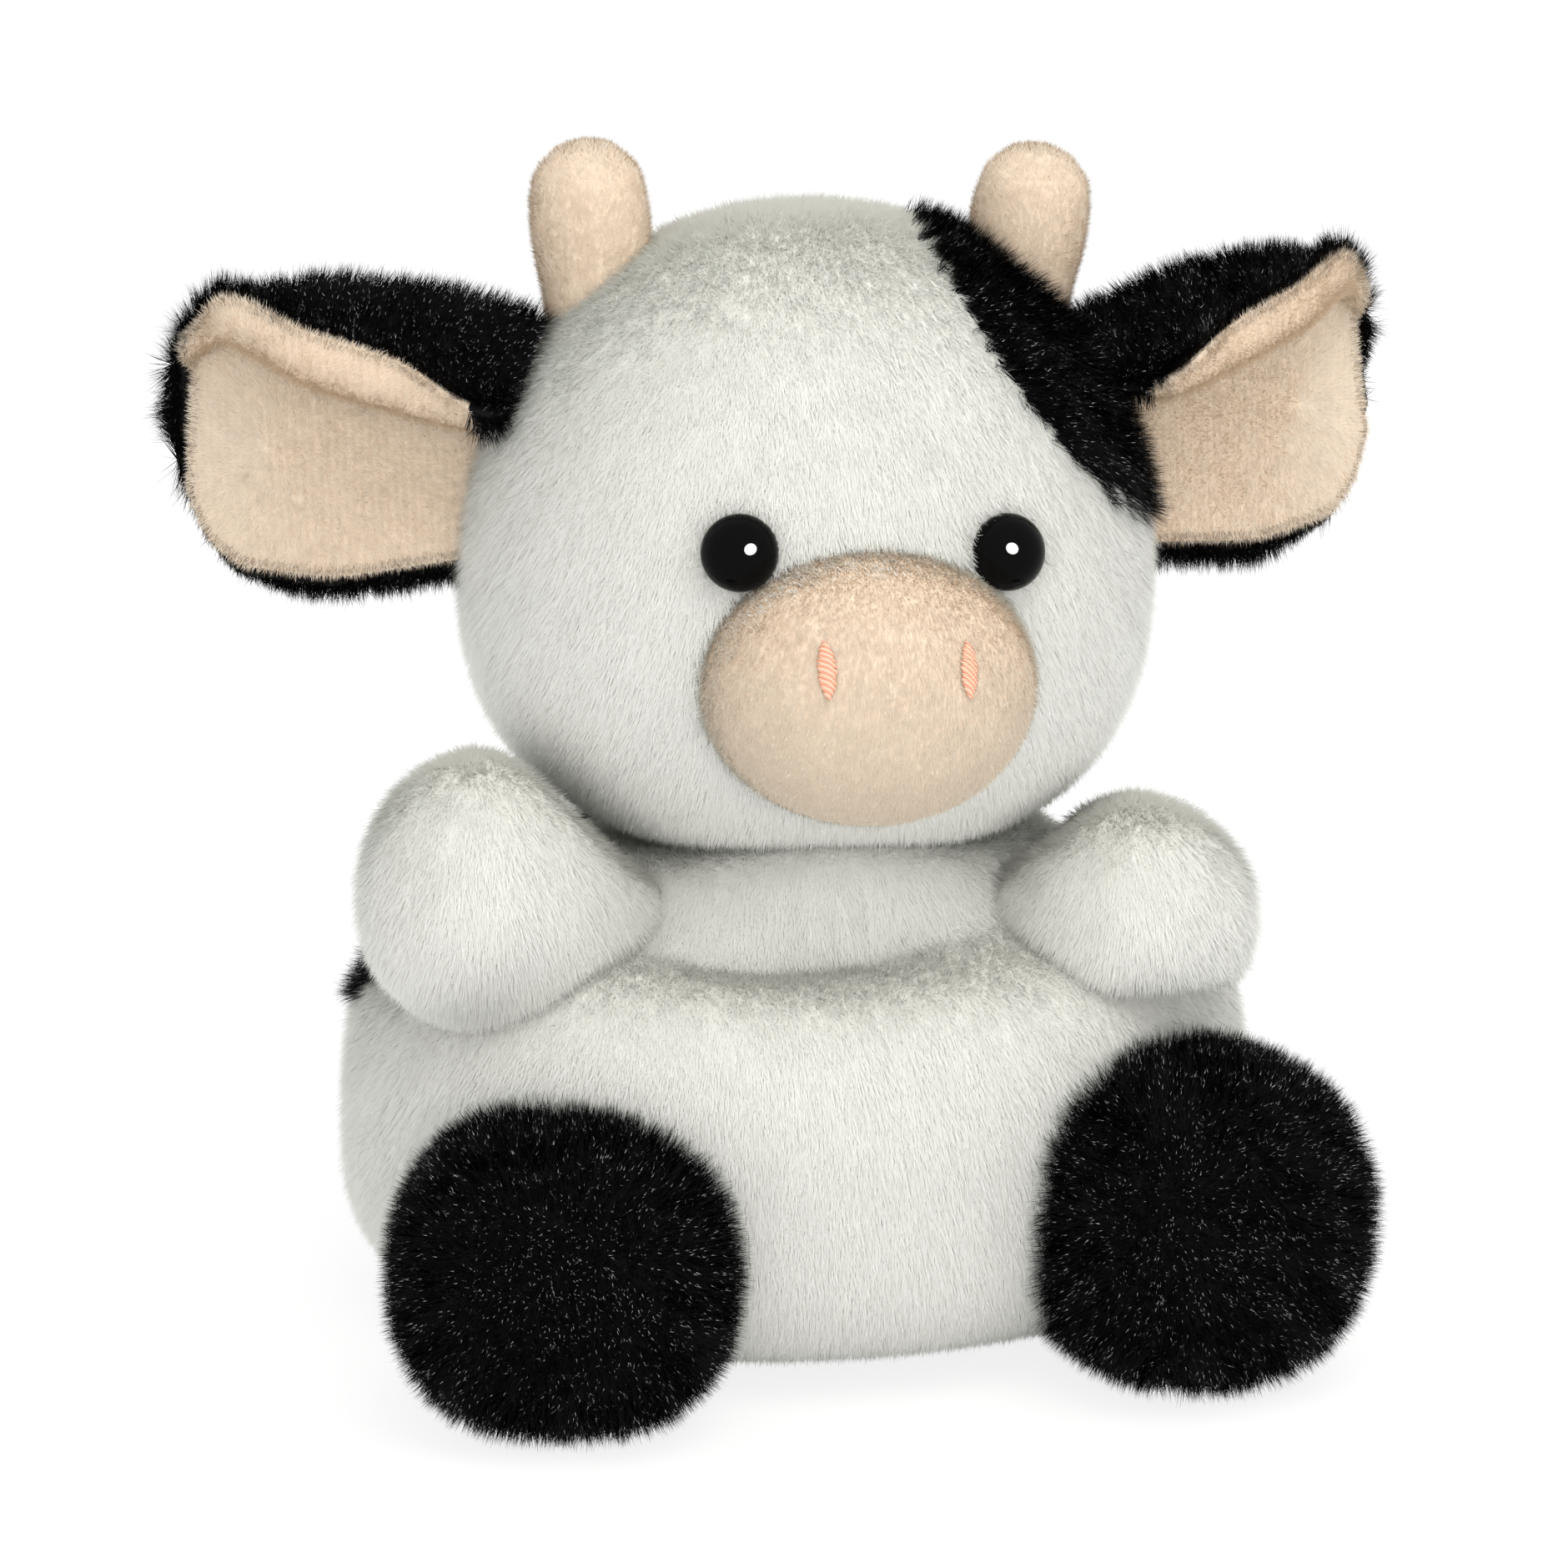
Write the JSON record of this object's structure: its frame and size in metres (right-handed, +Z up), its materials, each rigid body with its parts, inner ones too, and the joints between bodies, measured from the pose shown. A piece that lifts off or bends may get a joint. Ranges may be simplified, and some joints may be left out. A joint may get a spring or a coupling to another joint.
{
  "type": "plush cow",
  "caption": "Small seated plush cow with a bean-weighted seat, folded ears, stubby horns, stitched nostrils and a peach muzzle.",
  "frame": {"origin": "on the plane that the toy sits on, in the middle of the flat under its seat", "axes": "+Z is up, -Y is the way the face looks, and +X is the cow's own left side"},
  "size_m": [0.1234, 0.0983, 0.1166],
  "materials": {
    "white_plush": "white long-pile plush",
    "black_plush": "black long-pile plush",
    "peach_plush": "peach short-pile plush",
    "fibre_fill": "loose polyester fibre",
    "pouch_cloth": "plain woven pouch cloth",
    "pellet_plastic": "small loose pellets",
    "eye_plastic": "polished black",
    "washer_plastic": "natural moulded",
    "coral_thread": "satin stitch"
  },
  "bodies": {
    "torso": {"torso_cover": "white_plush", "torso_fill": "fibre_fill", "pellet_pouch": "pouch_cloth", "pellet_fill": "pellet_plastic", "back_patch": "black_plush"},
    "head": {"head_cover": "white_plush", "head_fill": "fibre_fill", "head_patch": "black_plush", "muzzle_cover": "peach_plush", "muzzle_fill": "fibre_fill", "nostril_left": "coral_thread", "nostril_right": "coral_thread", "eye_left": "eye_plastic", "eye_right": "eye_plastic", "eye_washer_left": "washer_plastic", "eye_washer_right": "washer_plastic", "horn_left_cover": "peach_plush", "horn_left_fill": "fibre_fill", "horn_right_cover": "peach_plush", "horn_right_fill": "fibre_fill"},
    "ear_left": {"ear_back_left": "black_plush", "ear_lining_left": "peach_plush"},
    "ear_right": {"ear_back_right": "black_plush", "ear_lining_right": "peach_plush"},
    "arm_left": {"arm_left_cover": "white_plush", "arm_left_fill": "fibre_fill"},
    "arm_right": {"arm_right_cover": "white_plush", "arm_right_fill": "fibre_fill"},
    "foot_left": {"foot_left_cover": "black_plush", "foot_left_fill": "fibre_fill"},
    "foot_right": {"foot_right_cover": "black_plush", "foot_right_fill": "fibre_fill"},
    "tail": {"tail_cord": "white_plush", "tail_tuft": "black_plush"}
  },
  "joints": [
    {"name": "head_nod", "type": "hinge", "parent": "torso", "child": "head", "pos_m": [0, 0, 0.048], "axis": [0.999, 0, -0.0436], "range_deg": [-8, 5], "stiffness_Nm_per_rad": 0.06},
    {"name": "ear_left_swing", "type": "hinge", "parent": "head", "child": "ear_left", "pos_m": [0.02774, 0.002, 0.08733], "axis": [-0.0818, -0.061, 0.9948], "range_deg": [-8, 8], "stiffness_Nm_per_rad": 0.01},
    {"name": "ear_right_swing", "type": "hinge", "parent": "head", "child": "ear_right", "pos_m": [-0.02421, 0.002, 0.0896], "axis": [-0.0149, 0.038, 0.9992], "range_deg": [-8, 8], "stiffness_Nm_per_rad": 0.01},
    {"name": "arm_left_swing", "type": "hinge", "parent": "torso", "child": "arm_left", "pos_m": [0.023, -0.009, 0.0413], "axis": [0, 0, 1], "range_deg": [-8, 8], "stiffness_Nm_per_rad": 0.01},
    {"name": "arm_right_swing", "type": "hinge", "parent": "torso", "child": "arm_right", "pos_m": [-0.023, -0.009, 0.0443], "axis": [0, 0, 1], "range_deg": [-8, 8], "stiffness_Nm_per_rad": 0.01},
    {"name": "foot_left_lift", "type": "hinge", "parent": "torso", "child": "foot_left", "pos_m": [0.0255, -0.017, 0.0163], "axis": [1, 0, 0], "range_deg": [-12, 0], "stiffness_Nm_per_rad": 0.02},
    {"name": "foot_right_lift", "type": "hinge", "parent": "torso", "child": "foot_right", "pos_m": [-0.0255, -0.017, 0.0149], "axis": [1, 0, 0], "range_deg": [-12, 0], "stiffness_Nm_per_rad": 0.02},
    {"name": "tail_lift", "type": "hinge", "parent": "torso", "child": "tail", "pos_m": [0, 0.03376, 0.028], "axis": [1, 0, 0], "range_deg": [0, 25], "stiffness_Nm_per_rad": 0.002}
  ]
}
